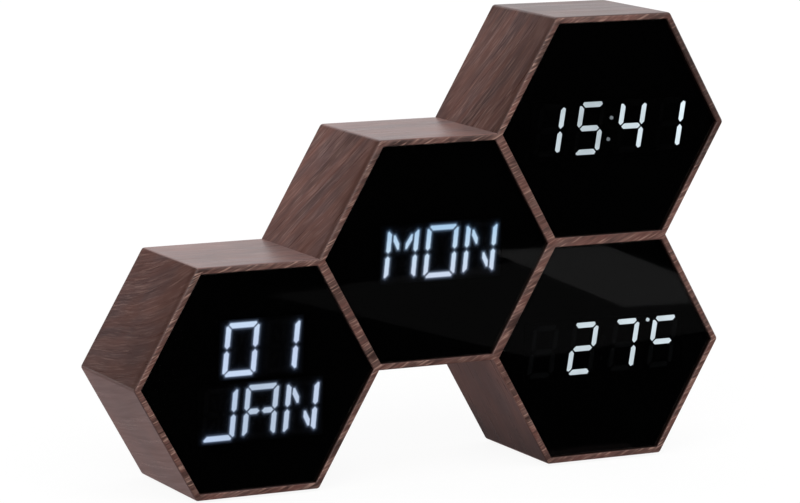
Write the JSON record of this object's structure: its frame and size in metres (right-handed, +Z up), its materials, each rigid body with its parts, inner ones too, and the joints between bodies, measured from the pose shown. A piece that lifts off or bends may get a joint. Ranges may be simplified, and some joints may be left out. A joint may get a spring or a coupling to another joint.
{
  "type": "digital alarm clock",
  "caption": "Desk alarm clock in a wood-veneered honeycomb case whose hexagonal cells show time, day, date and temperature in white light bars behind black lenses.",
  "frame": {"origin": "on the table, under the middle of the case's width and depth", "axes": "+X to the right as the displays are read, +Y towards the back, +Z up"},
  "size_m": [0.2902, 0.059, 0.2028],
  "materials": {
    "walnut_veneer": "satin",
    "smoked_acrylic": "polished",
    "black_abs": "matte",
    "white_diffuser": "matte",
    "green_board": "satin",
    "steel": "satin",
    "black_rubber": "matte",
    "brass": "satin",
    "wire_sleeve": "matte"
  },
  "bodies": {
    "clock": {"buzzer": "black_abs", "coin_cell": "steel", "coin_cell_contact": "steel", "coin_cell_holder": "black_abs", "control_board": "green_board", "controller_chip": "black_abs", "cover_screw_date_lower": "steel", "cover_screw_date_upper": "steel", "cover_screw_day_lower": "steel", "cover_screw_day_upper": "steel", "cover_screw_temperature_lower": "steel", "cover_screw_temperature_upper": "steel", "cover_screw_time_lower": "steel", "cover_screw_time_upper": "steel", "diffuser_date": "white_diffuser", "diffuser_day": "white_diffuser", "diffuser_month": "white_diffuser", "display_board_date": "green_board", "display_board_day": "green_board", "display_board_temperature": "green_board", "display_board_time": "green_board", "foot_pad_date": "black_rubber", "foot_pad_temperature": "black_rubber", "inner_frame_date": "black_abs", "inner_frame_day": "black_abs", "inner_frame_temperature": "black_abs", "inner_frame_time": "black_abs", "lens_date": "smoked_acrylic", "lens_day": "smoked_acrylic", "lens_temperature": "smoked_acrylic", "lens_time": "smoked_acrylic", "light_guide_temperature": "white_diffuser", "light_guide_time": "white_diffuser", "mask_date": "black_abs", "mask_day": "black_abs", "mask_month": "black_abs", "mask_temperature": "black_abs", "mask_time": "black_abs", "power_inlet": "black_abs", "power_inlet_pin": "brass", "rear_cover": "black_abs", "switch_down": "steel", "switch_set": "steel", "switch_up": "steel", "temperature_sensor": "white_diffuser", "wire_date": "wire_sleeve", "wire_day": "wire_sleeve", "wire_temperature": "wire_sleeve", "wire_time": "wire_sleeve", "wood_case": "walnut_veneer"},
    "set_button": {"button_set": "black_abs", "plunger_set": "black_abs"},
    "down_button": {"button_down": "black_abs", "plunger_down": "black_abs"},
    "up_button": {"button_up": "black_abs", "plunger_up": "black_abs"},
    "battery_door": {"battery_cover": "black_abs"}
  },
  "joints": [
    {"name": "press_set", "type": "slide", "parent": "clock", "child": "set_button", "axis": [0, -1, 0], "range_m": [0, 0.0005], "stiffness_N_per_m": 600, "springref_m": -0.001},
    {"name": "press_down", "type": "slide", "parent": "clock", "child": "down_button", "axis": [0, -1, 0], "range_m": [0, 0.0005], "stiffness_N_per_m": 600, "springref_m": -0.001},
    {"name": "press_up", "type": "slide", "parent": "clock", "child": "up_button", "axis": [0, -1, 0], "range_m": [0, 0.0005], "stiffness_N_per_m": 600, "springref_m": -0.001},
    {"name": "twist_battery_cover", "type": "hinge", "parent": "clock", "child": "battery_door", "pos_m": [0.07159, 0.0275, 0.04293], "axis": [0, 1, 0], "range_deg": [0, 40]}
  ]
}
